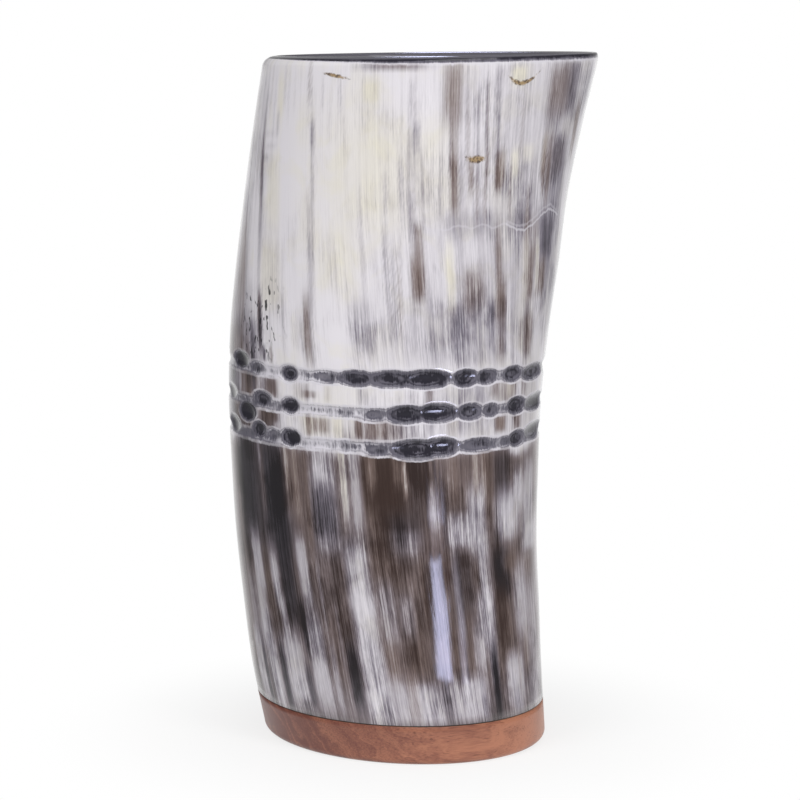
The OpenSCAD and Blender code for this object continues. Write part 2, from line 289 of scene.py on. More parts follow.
    (-26, 80.5, 3, 1.6, BROWN, 0.6), (-20, 80.5, 2, 2.5, CREAM, 0.8), (-12.5, 80.5, 1.4, 2.5, UMBER, 0.8),
    (-6, 80.5, 4, 2.5, BROWN, 0.5), (42, 80.5, 3, 2, BROWN, 1), (38, 89, 2, 2, BROWN, 0.5),
    (47, 88.5, 3, 2, TAN, 0.6), (-24, 88, 1.5, 2, TAN, 0.5), (-31, 87.5, 3, 0.8, BROWN, 0.6),
    # Painted shade round the foot, and dark clouds of the lower half with one painted reflection
    (0, 12, 85, 7, GREY, 0.3), (180, 12, 100, 7, GREY, 0.25), (-64, 63, 8, 14, CHARCOAL, 0.95),
    (-48, 63, 9, 14, CHARCOAL, 0.95), (-54, 66, 1.6, 8, BROWN, 0.4), (-55.5, 72, 0.7, 3, FROST, 0.6),
    (-39, 67, 4, 9, BROWN, 0.7), (-41, 70, 1, 5, TAN, 0.5), (-37, 66, 1, 8, TAN, 0.4),
    (-44, 45, 4, 14, CHARCOAL, 0.85), (-56, 40, 3, 10, UMBER, 0.5), (-25.5, 61, 5.5, 9, GREY, 0.85),
    (-32, 60, 1, 14, BROWN, 0.6), (-8, 66, 2, 10, BROWN, 0.6), (-3, 63, 6, 11, UMBER, 0.85),
    (4, 60, 6, 7, CHARCOAL, 0.65), (8, 66, 5.5, 8, UMBER, 0.9), (3, 66, 9, 9, CHARCOAL, 0.35),
    (-4, 68, 8.5, 7, UMBER, 1), (-4, 68, 8, 7, BARK, 0.85), (-8, 71, 2, 4, BROWN, 0.6),
    (0.8, 71, 1.5, 4, BROWN, 0.5), (-20, 81, 13, 3, TAN, 0.25), (-4, 48, 5, 4, BROWN, 0.6),
    (6, 28, 4, 8, UMBER, 0.6), (-4, 25, 3, 8, BROWN, 0.6), (26.5, 36, 2, 13, UMBER, 0.7),
    (37, 66, 3, 8, UMBER, 0.8), (44, 68, 4, 7, UMBER, 0.85), (44, 45, 4.5, 5.5, CHARCOAL, 0.85),
    (44, 32, 4, 9, UMBER, 0.85), (50, 47, 5, 2.5, UMBER, 0.9), (60, 46, 8, 3, BROWN, 0.6),
    # The grey stroke at turn 23, height 40 is a painted reflection: a lighter streak standing for the pane
    # lamp's reflected strip, where that lamp's own reflection also falls
    (22, 68, 2, 7, BROWN, 0.6), (57, 66, 2, 6, BROWN, 0.5), (23, 40, 1.6, 10, GREY, 0.7),
    (58.5, 27, 2, 6, BROWN, 0.7), (44, 68, 4.5, 6, CHARCOAL, 0.6), (26, 43, 3.5, 7, CHARCOAL, 0.4),
    (34.5, 69, 1.2, 7, TAN, 0.6), (-25.5, 61, 5, 7, CHARCOAL, 0.3),
    # Pale streaks of the lower half, nearly all on the left
    (-58, 24, 5, 10, FROST, 0.4), (-35, 36, 2, 6, FROST, 0.4), (-60.5, 45, 3.6, 7, FROST, 0.85),
    (-60, 30, 3.4, 9, FROST, 0.8), (-57, 18, 3.4, 8, FROST, 0.85), (-67, 32, 4, 10, FROST, 0.5),
    (-68, 19, 4.5, 8, FROST, 0.85), (-50, 42, 2.2, 7, FROST, 0.9), (-47.5, 33, 1.6, 5, FROST, 0.7),
    (-45, 20, 6.5, 9, FROST, 0.9), (-36, 46, 2.4, 7, FROST, 0.85), (-34.5, 41, 1.5, 3, FROST, 0.6),
    (-33, 24, 4.2, 12, FROST, 0.9), (-26, 71, 4.5, 3.5, FROST, 0.75), (-29, 40, 0.7, 8, FROST, 0.46),
    (-26, 20, 1.2, 8, FROST, 0.6), (-23, 30, 0.7, 8, FROST, 0.37), (-24, 52, 5, 2, FROST, 0.4),
    (-78, 45, 5, 30, FROST, 0.2), (-27, 44, 7, 8, FROST, 0.15), (36, 44, 3, 10, FROST, 0.5),
    (57, 40, 4, 8, FROST, 0.35),
    # Broad pale streak of the lower half
    (-18, 68, 1.6, 9, CREAM, 0.9), (-14.5, 66, 3.2, 10, FROST, 0.75), (-16, 66, 0.7, 9, UMBER, 0.42),
    (-14.3, 46, 4.6, 8, FROST, 1), (-12.6, 32, 4.9, 10, FROST, 1), (-10.5, 17, 4.9, 9, FROST, 1),
    (-13, 40, 3, 9, WHITE, 0.35), (3.6, 70, 0.8, 5, TAN, 0.8), (-8.5, 70, 0.7, 5, TAN, 0.4),
    (4, 53, 6, 3, FROST, 0.5), (-4, 37, 3.4, 7, FROST, 0.6), (3, 36, 3, 5, FROST, 0.55),
    (-3, 15, 4, 6, FROST, 0.6),
    # Pale streaks on the right of the lower half, and one painted reflection
    (25, 56, 6.5, 4, FROST, 0.9), (32, 58, 4.2, 8, FROST, 0.95), (31, 70, 1.5, 5, TAN, 0.7),
    (34.5, 45, 1.8, 7, FROST, 0.8), (35, 34, 4.2, 7, FROST, 0.9), (37.5, 24, 2.2, 5, FROST, 0.8),
    (31, 28, 3, 6, FROST, 0.6), (48, 58, 8, 5, FROST, 0.95), (54, 64, 3.5, 5, FROST, 0.8),
    (63, 60, 6, 10, FROST, 0.8), (66, 52, 8, 3, FROST, 0.8), (55, 36, 4.6, 8, FROST, 0.65),
    (50, 19, 6, 6, FROST, 0.9), (66, 30, 7, 12, FROST, 0.6), (66, 14, 8, 5, FROST, 0.6),
    (8, 15, 8, 5, FROST, 0.85), (25, 16, 9, 5, FROST, 0.9), (78, 40, 8, 30, FROST, 0.5),
    # The frost stroke at turn 14.4, height 61.5 is a painted reflection: the faint upper end of the window
    # lamp's reflected strip
    (14.4, 61.5, 2.2, 5, FROST, 0.6),
    # Dark lines over the pale streaks
    (-51, 18, 1.8, 8, CHARCOAL, 0.85), (-63.5, 16, 1.3, 9, CHARCOAL, 0.8),
    (-38, 17, 1.6, 5, CHARCOAL, 0.7), (-38, 32, 1.2, 6, CHARCOAL, 0.7), (-74, 20, 1.6, 8, UMBER, 0.5),
    (-18.5, 21, 2.4, 8, CHARCOAL, 0.85), (19.6, 36, 0.9, 15, UMBER, 0.9), (10.6, 36, 1, 14, UMBER, 0.6),
    (31.5, 15, 1.4, 5, GREY, 0.6), (38.2, 19, 1.7, 8, CHARCOAL, 0.9), (51, 14, 3, 3.5, GREY, 0.7),
    (47, 62.5, 6, 3, GREY, 0.4), (43.5, 58, 0.7, 6, GREY, 0.51), (46.2, 60, 0.7, 6, GREY, 0.51),
    (49.5, 59, 0.7, 6, GREY, 0.46), (52.5, 57, 0.7, 5, BROWN, 0.42), (8, 15.5, 18, 4, GREY, 0.3),
    (3, 16, 2.4, 6, BROWN, 0.5), (-13, 30, 0.7, 12, GREY, 0.3), (-47, 22, 0.7, 8, GREY, 0.4),
    (-43, 21, 0.7, 8, GREY, 0.37), (-31, 24, 0.7, 9, GREY, 0.34), (47.5, 19, 0.7, 6, GREY, 0.46),
    (52.5, 21, 0.7, 6, BROWN, 0.5),
)


def share_at(shares: tuple[float, ...], place: np.ndarray) -> np.ndarray:
    """Reads a smooth curve through evenly spaced shares.

    Args:
        shares: The shares, from place 0 to place 1.
        place: Places to read it at.

    Returns:
        The curve's value at each place.
    """
    table = np.array(shares)
    padded = np.concatenate([[2 * table[0] - table[1]], table, [2 * table[-1] - table[-2]]])
    spot = place * (len(table) - 1)
    step = np.clip(np.floor(spot), 0, len(table) - 2).astype(int)
    part = spot - step
    before, here, after, later = (padded[step + k] for k in range(4))
    return (here + part * (after - before) / 2
            + part ** 2 * (2 * before - 5 * here + 4 * after - later) / 2
            + part ** 3 * (3 * here - before - 3 * after + later) / 2)


@dataclass(frozen=True)
class HornShape:
    """The horn's form: a leaning oval tube whose sizes and formulas are the CAD model's, in metres."""

    height: float = 165 * MM
    mouth_long: float = 86 * MM
    mouth_short: float = 74.5 * MM
    oval_turn: float = 50
    mouth_rise: float = 1 * MM
    mouth_rise_power: int = 6
    wall_mouth: float = 3.6 * MM
    wall_foot: float = 4.8 * MM
    lip_round: float = 2.4 * MM
    crown_share: float = 0.54
    crown_swing_share: float = 0.26
    groove_height: float = 76 * MM
    groove_pitch: float = 7.9 * MM
    gouge_depth: float = 1.2 * MM
    trace_depth: float = 0.3 * MM
    file_radius: float = 3 * MM
    uncut: float = 2 * MM
    foot_height: float = 9.5 * MM
    glue_line: float = 0.3 * MM
    size_shares: tuple[float, ...] = (0.866, 0.895, 0.911, 0.923, 0.938, 0.953, 0.967, 0.976, 0.976,
                                      0.990, 1.008)
    lean_shares: tuple[float, ...] = (0.006, -0.019, -0.035, -0.049, -0.053, -0.053, -0.041, -0.018,
                                      0.006, 0.039, 0.077)
    drift_shares: tuple[float, ...] = (0, -0.004, -0.007, -0.009, -0.009, -0.007, -0.004, 0, 0.003,
                                       0.006, 0.008)

    @property
    def start(self) -> float:
        """Height of the horn's lower end."""
        return self.foot_height + self.glue_line

    @property
    def lip_start(self) -> float:
        """Height at which the lip's rounding starts."""
        return self.height - self.lip_round

    def wall(self, height: float | np.ndarray) -> float | np.ndarray:
        """Thickness of the wall at a height."""
        share = np.maximum(0, height - self.start) / (self.lip_start - self.start)
        return self.wall_foot + (self.wall_mouth - self.wall_foot) * share

    def skin(self, turns: np.ndarray, height: float, inset: float | np.ndarray = 0.0) -> np.ndarray:
        """Points of the outer surface, moved inwards by an inset.

        Args:
            turns: Degrees from the front.
            height: Height above the table.
            inset: Distance behind the outer surface.

        Returns:
            One row of x, y and z for each turn.
        """
        place = np.full(turns.shape, height / self.height)
        size = share_at(self.size_shares, place)
        around = np.radians(turns + self.oval_turn)
        tilt = math.radians(self.oval_turn)
        along = (size * self.mouth_long / 2 - inset) * np.sin(around)
        across = (size * self.mouth_short / 2 - inset) * -np.cos(around)
        lean = self.mouth_long * share_at(self.lean_shares, place)
        drift = self.mouth_long * share_at(self.drift_shares, place)
        rise = self.mouth_rise / 2 * np.sin(np.radians(turns)) * place ** self.mouth_rise_power
        return np.stack([lean + along * math.cos(tilt) + across * math.sin(tilt),
                         drift - along * math.sin(tilt) + across * math.cos(tilt),
                         height + rise], axis=-1)

    def level(self, turns: np.ndarray, height: float, inset: float = 0.0) -> np.ndarray:
        """Points of the outer surface, moved inwards and laid level at their height.

        Args:
            turns: Degrees from the front.
            height: Height above the table.
            inset: Distance behind the outer surface.

        Returns:
            One row of x, y and z for each turn.
        """
        row = self.skin(turns, height, inset)
        row[:, 2] = height
        return row

    def carving(self, turns: np.ndarray, height: float) -> np.ndarray:
        """How deep the file cut at one height.

        Args:
            turns: Degrees from the front.
            height: Height above the table.

        Returns:
            Depth at each turn, less than zero beside the cut.
        """
        depth = np.full_like(turns, -self.uncut)
        for number, bites in enumerate(GOUGE_SHARES):
            rise = height - self.groove_height - number * self.groove_pitch
            depth = np.maximum(depth, self.trace_depth - rise ** 2 / (2 * self.file_radius))
            for turn, spread, depth_share, rise_share in bites:
                bite = self.gouge_depth * depth_share * (1 - (turn_between(turns, turn) / spread) ** 2)
                off = rise - rise_share * self.groove_pitch
                depth = np.maximum(depth, bite - off ** 2 / (2 * self.file_radius))
        return depth


@dataclass(frozen=True)
class HornPattern:
    """Where the horn is pale, creamy, brown or black, in degrees from the front and millimetres up."""

    placed: tuple[Stroke, ...] = PLACED_STROKES
    stroke_end: float = 6
    seed: int = 7
    back_strokes: int = 90
    back_turns: tuple[float, float] = (84, 276)
    high_back: tuple[float, float] = (97, 165)
    low_back: tuple[float, float] = (10, 72)
    high_back_tones: tuple[Tone, ...] = (BROWN, GREY, BROWN, TAN, CREAM)
    low_back_tones: tuple[Tone, ...] = (FROST, CHARCOAL, FROST, UMBER)
    back_half_turns: tuple[float, float] = (1.2, 5.5)
    back_half_heights: tuple[float, float] = (4, 12)
    back_strengths: tuple[float, float] = (0.45, 0.95)
    twist_above: float = 0.28
    twist_below: float = 0.11
    twist_height: float = 92
    base_change: float = 74.5
    base_sharpness: float = 1.25
    base_waves: tuple[Triple, ...] = ((1.2, 5, 0), (0.8, 11, 40))
    low_tone: Triple = (0.74, 0.8, 0.0)
    hatch_left: float = 0.9
    hatch_right: float = 2.5
    hatch_low: float = 3.1
    calm: Patch = Patch(-32, 140, 34, 32)
    growth_lines: tuple[GrowthLine, ...] = (
        GrowthLine(49.4, 127.5, 16, 1.6, 0.06, 12.7),
        GrowthLine(48.5, 128.5, 15, 1.6, 0.06, 12.7),
        GrowthLine(22, 126.6, 13, 0.3, 0.03, 40),
    )
    line_fade: float = 4
    line_end: float = 400
    trace_tones: tuple[tuple[float, float], ...] = (
        (-180, 0.6), (-90, 0.8), (-58, 0.85), (-46, 0.7), (-36, 0.15), (-24, 0.15), (-10, 0.55),
        (0, 0.85), (35, 0.85), (60, 0.75), (180, 0.6))
    trace_sharpness: float = 2
    top_trace_lead: float = 14
    top_trace_start: float = 88
    low_trace_turn: float = -72
    low_trace_half_turn: float = 13
    low_trace_end: float = 80.5
    low_trace_gain: float = 0.4
    blurred_turn: float = -77
    blurred_half_turn: float = 18
    blurred_loss: float = 0.6
    clearest: float = 0.95
    front_flecks: Patch = Patch(-57, 103, 12, 10)
    back_flecks: Patch = Patch(150, 108, 16, 12)
    back_fleck_share: float = 0.7

    def twist(self, heights: np.ndarray) -> np.ndarray:
        """Degrees by which the fibres at a height have turned, against those in the carved band."""
        rise = heights - self.twist_height
        return rise * np.where(rise > 0, self.twist_above, self.twist_below)

    def back(self) -> list[Stroke]:
        """Draws the strokes of the side away from the front at random from a fixed seed.

        Returns:
            The strokes, of which every second one lies above the grooves.
        """
        rng = np.random.default_rng(self.seed)
        strokes = []
        for number in range(self.back_strokes):
            upper = number % 2 == 0
            tones = self.high_back_tones if upper else self.low_back_tones
            strokes.append(Stroke(
                turn=rng.uniform(*self.back_turns),
                height=rng.uniform(*(self.high_back if upper else self.low_back)),
                half_turn=rng.uniform(*self.back_half_turns),
                half_height=rng.uniform(*self.back_half_heights),
                tone=tones[rng.integers(len(tones))],
                strength=rng.uniform(*self.back_strengths)))
        return strokes

    def tones(self, turns: np.ndarray, heights: np.ndarray) -> np.ndarray:
        """Tone of the horn's skin.

        Args:
            turns: Degrees from the front.
            heights: Millimetres above the table.

        Returns:
            Darkness, warmth and creaminess, one row for each point.
        """
        fibre = turns + self.twist(heights)
        wobble = sum(size * np.sin(np.radians(turns * count + start))
                     for size, count, start in self.base_waves)
        low = fall(heights, self.base_change + wobble, self.base_sharpness)
        light, dark = np.array(Tone.PALE.value), np.array(self.low_tone)
        tones = light + (dark - light) * low[:, None]
        for stroke in (*self.placed, *self.back()):
            middle = stroke.turn + self.twist(np.array([stroke.height]))[0]
            across = turn_between(fibre, middle) / stroke.half_turn
            along = np.abs(heights - stroke.height) / stroke.half_height
            weight = stroke.strength * np.exp(-across ** STEEP) * fall(along, 1, self.stroke_end)
            tones += (np.array(stroke.tone.value) - tones) * weight[:, None]
        return tones

    def hatch(self, turns: np.ndarray, heights: np.ndarray) -> np.ndarray:
        """How strongly the fibres break up the strokes, which is least on the left of the upper half.

        Args:
            turns: Degrees from the front.
            heights: Millimetres above the table.

        Returns:
            The strength at each point.
        """
        low = fall(heights, self.base_change, 1)
        calm = self.calm.weight(turns, heights, STEEP)
        upper = self.hatch_right + (self.hatch_left - self.hatch_right) * calm
        return upper + (self.hatch_low - upper) * low

    def rings(self, turns: np.ndarray, heights: np.ndarray) -> np.ndarray:
        """Heights above the faint growth lines.

        Args:
            turns: Degrees from the front.
            heights: Millimetres above the table.

        Returns:
            One column for each line, whose heights rise steeply past its ends.
        """
        columns = []
        for line in self.growth_lines:
            aside = turn_between(turns, line.turn)
            along = np.clip(aside, -line.half_turn, line.half_turn)
            waved = line.height + line.slope * along + line.swing * np.sin(np.radians(along * line.waves))
            past = np.tanh((np.abs(aside) - np.abs(along)) / self.line_fade)
            columns.append(heights - waved + self.line_end * past)
        return np.stack(columns, axis=1)

    def trace(self, turns: np.ndarray, heights: np.ndarray) -> np.ndarray:
        """How smoky the shallow parts of the grooves are.

        Args:
            turns: Degrees from the front.
            heights: Millimetres above the table.

        Returns:
            The smoke at each point, which starts further left in the top groove.
        """
        lead = self.top_trace_lead * (1 - fall(heights, self.top_trace_start, self.trace_sharpness))
        places, tones = zip(*self.trace_tones)
        aside = turn_between(turns, self.low_trace_turn) / self.low_trace_half_turn
        dark = np.exp(-aside ** STEEP) * fall(heights, self.low_trace_end, self.trace_sharpness)
        return np.interp(turns + lead, places, tones) + self.low_trace_gain * dark

    def clear(self, turns: np.ndarray) -> np.ndarray:
        """How clearly pale rings show round the cuts, which is least at the left end of the front."""
        aside = turn_between(turns, self.blurred_turn) / self.blurred_half_turn
        return self.clearest - self.blurred_loss * np.exp(-aside ** STEEP)

    def flecks(self, turns: np.ndarray, heights: np.ndarray) -> np.ndarray:
        """How thickly small black flecks lie, most on the left just above the grooves."""
        back = self.back_fleck_share * self.back_flecks.weight(turns, heights)
        return self.front_flecks.weight(turns, heights) + back


@dataclass(frozen=True)
class Grain:
    """A noise with its own scale on each axis.

    Args:
        scale: Waves for each unit of length on each axis.
        detail: Number of finer noises laid over it.
        roughness: Share that each finer noise keeps.
        distortion: How much it is warped.
    """

    scale: Triple
    detail: float = 3.0
    roughness: float = 0.55
    distortion: float = 0.0


@dataclass(frozen=True)
class Ramp:
    """A change from one value to another.

    Args:
        low: Input at which it starts.
        high: Input at which it ends.
        to_low: Value before it.
        to_high: Value after it.
        kind: How it runs between them.
    """

    low: float
    high: float
    to_low: float = 0.0
    to_high: float = 1.0
    kind: str = "SMOOTHSTEP"


class Bench:
    """Lays out the shader nodes of a material or of the world."""

    def __init__(self, owner: Finished, output: str = "OutputMaterial") -> None:
        """Clears the nodes and adds the output.

        Args:
            owner: The material or world.
            output: Type of its output node, without the ShaderNode prefix.
        """
        self.owner = owner
        self.owner.use_nodes = True
        self.tree = self.owner.node_tree
        self.tree.nodes.clear()
        self.output = self.node(output)

    def plug(self, socket: Socket, value: object) -> None:
        """Links a socket to another one, or sets its constant.

        Args:
            socket: The input.
            value: A socket, number or tuple.
        """
        if isinstance(value, bpy.types.NodeSocket):
            self.tree.links.new(value, socket)
        elif isinstance(value, tuple) and socket.type == "RGBA":
            socket.default_value = (*value, 1.0)
        else:
            socket.default_value = value

    def node(self, kind: str, inputs: dict[str | int, object] | None = None,
             **settings: object) -> bpy.types.Node:
        """Adds a node.

        Args:
            kind: Its type, without the ShaderNode prefix.
            inputs: Values or links of its inputs, by name or number.
            **settings: Its own properties.

        Returns:
            The new node.
        """
        node = self.tree.nodes.new("ShaderNode" + kind)
        for key, value in settings.items():
            setattr(node, key, value)
        for key, value in (inputs or {}).items():
            self.plug(node.inputs[key], value)
        return node

    def math(self, operation: str, a: Value, b: Value = 0.0, c: Value = 0.0) -> Socket:
        """Result of a Math node."""
        return self.node("Math", {0: a, 1: b, 2: c}, operation=operation).outputs[0]

    def times(self, a: Value, b: Value) -> Socket:
        """Product of two values."""
        return self.math("MULTIPLY", a, b)

    def minus(self, a: Value, b: Value) -> Socket:
        """Difference of two values."""
        return self.math("SUBTRACT", a, b)

    def off(self, value: Value, middle: Value, half: float) -> Socket:
        """Distance of a value from a middle, in half widths."""
        return self.math("DIVIDE", self.minus(value, middle), half)

    def total(self, start: Value, *parts: tuple[Value, Value]) -> Socket:
        """Adds products to a value.

        Args:
            start: The value to start from.
            *parts: Pairs of a value and its share.

        Returns:
            The sum.
        """
        for value, share in parts:
            start = self.math("MULTIPLY_ADD", value, share, start)
        return start

    def reach(self, across: Socket, along: Socket) -> Socket:
        """Square of the distance from a middle."""
        return self.total(self.times(along, along), (across, across))

    def step(self, value: Value, ramp: Ramp) -> Socket:
        """Value of a ramp at an input."""
        inputs = dict(zip((1, 2, 3, 4), (ramp.low, ramp.high, ramp.to_low, ramp.to_high)))
        return self.node("MapRange", {0: value, **inputs}, interpolation_type=ramp.kind).outputs[0]

    def mix(self, share: Value, a: Triple | Socket, b: Triple | Socket) -> Socket:
        """Colour between two others.

        Args:
            share: Share of the second one.
            a: The first colour.
            b: The second colour.

        Returns:
            The mixed colour.
        """
        node = self.node("Mix", data_type="RGBA")
        for key, value in ((0, share), (6, a), (7, b)):
            self.plug(node.inputs[key], value)
        return node.outputs[2]

    def choose(self, test: Socket, off: Value, on: Value) -> Socket:
        """Value that is one thing where a test is 0 and another where it is 1."""
        return self.node("Mix", {0: test, 2: off, 3: on}).outputs[0]

    def attribute(self, name: str, output: str = "Fac") -> Socket:
        """One of the mesh's own attributes."""
        return self.node("Attribute", attribute_type="GEOMETRY", attribute_name=name).outputs[output]

    def split(self, vector: Socket) -> Sockets:
        """The three parts of a vector."""
        return self.node("SeparateXYZ", {0: vector}).outputs

    def noise(self, vector: Socket, grain: Grain) -> Socket:
        """Adds a noise.

        Args:
            vector: Place at which it is read.
            grain: Its scale and character.

        Returns:
            The noise, from 0 to 1.
        """
        scaled = self.node("VectorMath", {0: vector, 1: grain.scale}, operation="MULTIPLY").outputs[0]
        return self.node("TexNoise", {"Vector": scaled, "Scale": 1.0, "Detail": grain.detail,
                                      "Roughness": grain.roughness,
                                      "Distortion": grain.distortion}).outputs[0]

    def bump(self, height: Socket, strength: float, distance: float) -> Socket:
        """Normal from a height."""
        return self.node("Bump", {"Height": height, "Strength": strength, "Distance": distance}).outputs[0]

    def finish(self, shader: bpy.types.Node) -> Finished:
        """Links the shader to the output and returns the material or world."""
        self.tree.links.new(shader.outputs[0], self.output.inputs["Surface"])
        return self.owner


def new_bench(name: str) -> Bench:
    """Bench of a new material."""
    return Bench(bpy.data.materials.new(name))


@dataclass(frozen=True)
class HornFinish:
    """Polished horn: streaked pigment, pale rings where a cut slants through the layers, dark inside."""

    lavender: Triple = (0.83, 0.80, 0.845)
    cream: Triple = (0.84, 0.80, 0.69)
    grey: Triple = (0.233, 0.212, 0.265)
    tan: Triple = (0.234, 0.172, 0.154)
    charcoal: Triple = (0.013, 0.0125, 0.017)
    umber: Triple = (0.044, 0.026, 0.022)
    halo: Triple = (0.71, 0.685, 0.745)
    smoke: Triple = (0.126, 0.119, 0.153)
    inner_grey: Triple = (0.140, 0.132, 0.165)
    inner_black: Triple = (0.028, 0.026, 0.036)
    lip_black: Triple = (0.126, 0.121, 0.142)
    ochre: Triple = (0.38, 0.26, 0.12)
    ochre_rim: Triple = (0.10, 0.065, 0.042)

    fine: Grain = Grain((3.2, 3.2, 0.36), 3, 0.62)
    hair: Grain = Grain((2.6, 2.6, 0.032), 3, 0.6)
    medium: Grain = Grain((0.95, 0.95, 0.045), 3, 0.55)
    broad: Grain = Grain((0.25, 0.25, 0.035), 2, 0.5, 0.4)
    cloud: Grain = Grain((0.13, 0.13, 0.1), 3, 0.55, 0.6)
    area: Grain = Grain((0.1, 0.1, 0.07), 2, 0.5)
    waver: Grain = Grain((0.35, 0.35, 0.2), 2, 0.5)
    grit: Grain = Grain((1.1, 1.1, 1.1), 3, 0.7)
    spots: Grain = Grain((1.0, 1.0, 0.5), 1, 0.4)
    rough: Grain = Grain((0.6, 0.6, 0.45), 4, 0.6)
    blot: Grain = Grain((0.3, 0.3, 0.4), 2, 0.5)

    refraction: float = 1.5
    polish: Ramp = Ramp(0.35, 0.7, 0.06, 0.13)
    relief_share: float = 0.3
    relief_strength: float = 0.08
    relief_depth: float = 0.2 * MM
    dull_patches: tuple[Patch, ...] = (Patch(15, 54.4, 9, 3.9), Patch(19, 50, 1.7, 8))
    dull_ragged: float = 3.0
    dulling: Ramp = Ramp(2.3, 0.4, 0.5, 0.03)

    area_shade: Ramp = Ramp(0.42, 0.68, -0.01, 0.05)
    cream_clouds: Ramp = Ramp(0.44, 0.66, 0.0, 0.3)
    least_gain: float = 0.48
    area_gain: Ramp = Ramp(0.38, 0.60, 0.55, 1.25)
    skin_level: float = -0.94
    skin_shares: Sequence[float] = (0.40, 0.65, 0.45, 0.20, 0.20)
    pale_to_middle: Ramp = Ramp(-0.05, 0.66)
    middle_to_dark: Ramp = Ramp(0.40, 1.04)

    line_shares: Triple = (0.6, 0.3, 0.3)
    line_waver: float = 2.0
    line_edge: Ramp = Ramp(0.45, 0.08)
    blemishes: tuple[Blemish, ...] = (
        Blemish(-36, 160.4, 4.4, 0.4, -0.12, 0),
        Blemish(29, 158.9, 5.4, 0.5, 0.06, 1.7),
        Blemish(17.8, 141.8, 3.4, 0.8, 0.02, 0.3),
    )
    blemish_core: Ramp = Ramp(0.40, 0.56)
    blemish_ragged: float = 2.0
    blemish_edge: Ramp = Ramp(1.35, 0.6, 0.0, 0.92)
    fleck_edge: Ramp = Ramp(0.62, 0.69)
    fleck_area: Ramp = Ramp(0.1, 0.6)
    fleck_share: float = 0.92

    jag_shares: tuple[float, float] = (0.28, 0.30)
    jag_level: float = 0.29
    layer_level: float = -1.45
    layer_shares: Triple = (1.1, 0.9, 0.9)
    ripple_rate: float = 22.0
    ripple_size: Ramp = Ramp(0.38, 0.62, 0.04, 0.36)
    blot_gain: float = -2.2
    blur_gain: float = -1.1
    clearest: float = 0.95
    deepening: Ramp = Ramp(0.2, 1.2)
    grey_to_black: Ramp = Ramp(-0.1, 0.85)
    to_lip: Ramp = Ramp(1.5, 2.1)
    halo_to_smoke: Ramp = Ramp(-0.15, 0.9)
    halo_blots: Ramp = Ramp(0.35, 0.6, 0.98, 0.45)
    skin_to_halo: Ramp = Ramp(-0.34, -0.12)
    halo_to_trace: Ramp = Ramp(0.0, 0.18, 0.0, 0.95)
    trace_to_inner: Ramp = Ramp(0.20, 0.54)

    def material(self) -> bpy.types.Material:
        """Builds the horn's material.

        Returns:
            The material.
        """
        bench = new_bench("polished_horn")
        fibre = bench.attribute("fibre", "Vector")
        place = bench.split(bench.attribute("place", "Vector"))
        grains = [bench.noise(fibre, grain) for grain in (self.fine, self.hair, self.medium, self.broad)]
        fine, _, medium, broad = grains
        skin = self.marks(bench, self.skin(bench, fibre, grains), place, fibre)
        relief = bench.total(medium, (fine, self.relief_share))
        return bench.finish(bench.node("BsdfPrincipled", {
            "Base Color": self.layers(bench, skin, fibre, fine, broad),
            "Roughness": bench.step(medium, self.polish), "IOR": self.refraction,
            "Specular IOR Level": self.shine(bench, place, medium),
            "Normal": bench.bump(relief, self.relief_strength, self.relief_depth)}))

    def shine(self, bench: Bench, place: Sockets, medium: Socket) -> Socket:
        """Lays out the polish's reflection.

        Args:
            bench: Bench of the material.
            place: Turn and height of the point.
            medium: Noise that makes the dull patches ragged.

        Returns:
            Share of light reflected, which is less in the small dull patches low on the front.
        """
        turn, height, _ = place
        reaches = [bench.reach(bench.off(turn, patch.turn, patch.half_turn),
                               bench.off(height, patch.height, patch.half_height))
                   for patch in self.dull_patches]
        nearest = bench.math("MINIMUM", *reaches)
        return bench.step(bench.total(nearest, (bench.minus(medium, 0.5), self.dull_ragged)), self.dulling)

    def skin(self, bench: Bench, fibre: Socket, grains: Sockets) -> Socket:
        """Lays out the uncut surface from the tone attributes, feathered along the fibres.

        Args:
            bench: Bench of the material.
            fibre: Place along the fibres.
            grains: The four noises of the fibres, from fine to broad.

        Returns:
            The colour.
        """
        darkness, warmth, creaminess = bench.split(bench.attribute("tones", "Vector"))
        hatch = bench.attribute("hatch")
        cloud = bench.noise(fibre, self.cloud)
        area = bench.noise(fibre, self.area)
        darkness = bench.total(darkness, (bench.step(area, self.area_shade), hatch))
        creaminess = bench.math("ADD", creaminess, bench.step(cloud, self.cream_clouds))
        middling = bench.times(darkness, bench.minus(1.0, darkness))
        gain = bench.total(self.least_gain, (middling, hatch))
        gain = bench.times(gain, bench.step(area, self.area_gain))
        sway = bench.total(self.skin_level, *zip((*grains, cloud), self.skin_shares))
        depth = bench.total(darkness, (sway, gain))
        pale = bench.mix(creaminess, self.lavender, self.cream)
        middle = bench.mix(warmth, self.grey, self.tan)
        dark = bench.mix(warmth, self.charcoal, self.umber)
        first = bench.mix(bench.step(depth, self.pale_to_middle), pale, middle)
        return bench.mix(bench.step(depth, self.middle_to_dark), first, dark)

